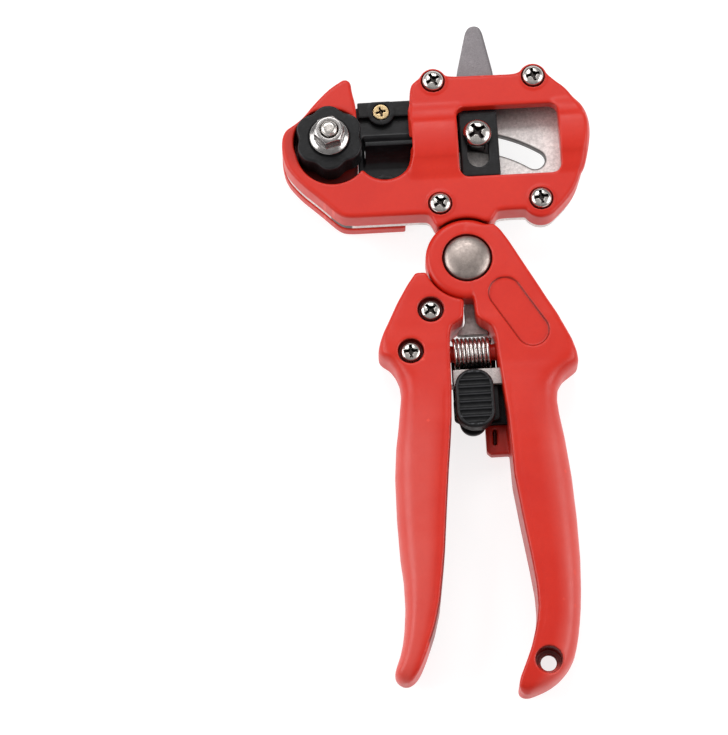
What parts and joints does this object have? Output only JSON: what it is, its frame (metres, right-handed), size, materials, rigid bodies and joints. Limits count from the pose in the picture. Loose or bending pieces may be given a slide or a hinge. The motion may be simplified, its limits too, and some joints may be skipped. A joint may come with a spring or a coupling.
{
  "type": "grafting knife",
  "caption": "Hand-held grafting plier whose squeezed handle drives a folded blade against a lobed anvil wheel, with a bypass pruner on its tip.",
  "frame": {"origin": "main pivot axis at the rear face of the pivot rivet, the level that the tool lies on", "axes": "+Z out of the front of the tool, along the pivot; +Y from the pivot to the pruner tip; -X towards the anvil wheel"},
  "size_m": [0.0933, 0.2142, 0.0275],
  "materials": {
    "red_plastic": "satin moulded red plastic",
    "black_plastic": "black moulded plastic",
    "black_steel": "black oxide",
    "plate_steel": "bead-blasted plain steel",
    "bright_nickel": "bright nickel plate",
    "brass": "pale polished brass"
  },
  "bodies": {
    "frame": {"front_shell": "red_plastic", "rear_shell": "red_plastic", "frame_plate": "plate_steel", "right_grip": "red_plastic", "pivot_rivet": "bright_nickel", "pivot_collar": "plate_steel", "anvil_bolt": "bright_nickel", "anvil_nut": "bright_nickel", "return_spring": "bright_nickel", "latch_guide": "plate_steel", "latch_backing": "black_plastic", "head_screw_1": "bright_nickel", "head_screw_2": "bright_nickel", "head_screw_3": "bright_nickel", "head_screw_4": "bright_nickel", "rear_screw_1": "bright_nickel", "rear_screw_2": "bright_nickel", "rear_screw_3": "bright_nickel"},
    "lever": {"pruning_lever": "plate_steel", "left_grip": "red_plastic", "grip_screw_1": "bright_nickel", "grip_screw_2": "bright_nickel", "cam_screw": "bright_nickel", "cam_bush": "plate_steel", "cam_nut": "bright_nickel", "latch_catch": "plate_steel"},
    "slide": {"slider": "black_plastic", "grafting_blade": "black_steel", "clamp_strip_1": "black_steel", "clamp_strip_2": "black_steel", "blade_screw_1": "brass", "blade_screw_2": "brass", "blade_screw_3": "brass", "blade_screw_4": "brass"},
    "latch": {"latch_button": "black_plastic", "latch_hook": "black_steel"},
    "anvil": {"anvil_wheel": "black_plastic"}
  },
  "joints": [
    {"name": "handle_hinge", "type": "hinge", "parent": "frame", "child": "lever", "pos_m": [0, 0, 0], "axis": [0, 0, -1], "range_deg": [0, 26], "stiffness_Nm_per_rad": 0.35, "springref_deg": 45.84, "deforming": ["return_spring"]},
    {"name": "slider_slide", "type": "slide", "parent": "frame", "child": "slide", "axis": [1, 0, 0], "range_m": [0, 0.0172]},
    {"name": "latch_slide", "type": "slide", "parent": "frame", "child": "latch", "axis": [0, 1, 0], "range_m": [0, 0.003]},
    {"name": "anvil_turn", "type": "hinge", "parent": "frame", "child": "anvil", "pos_m": [-0.0395, 0.0395, 0.0143], "axis": [0, 0, 1], "continuous": true}
  ],
  "couplings": [
    {"joint": "slider_slide", "follows": "handle_hinge", "m_per_rad": 0.0378}
  ]
}
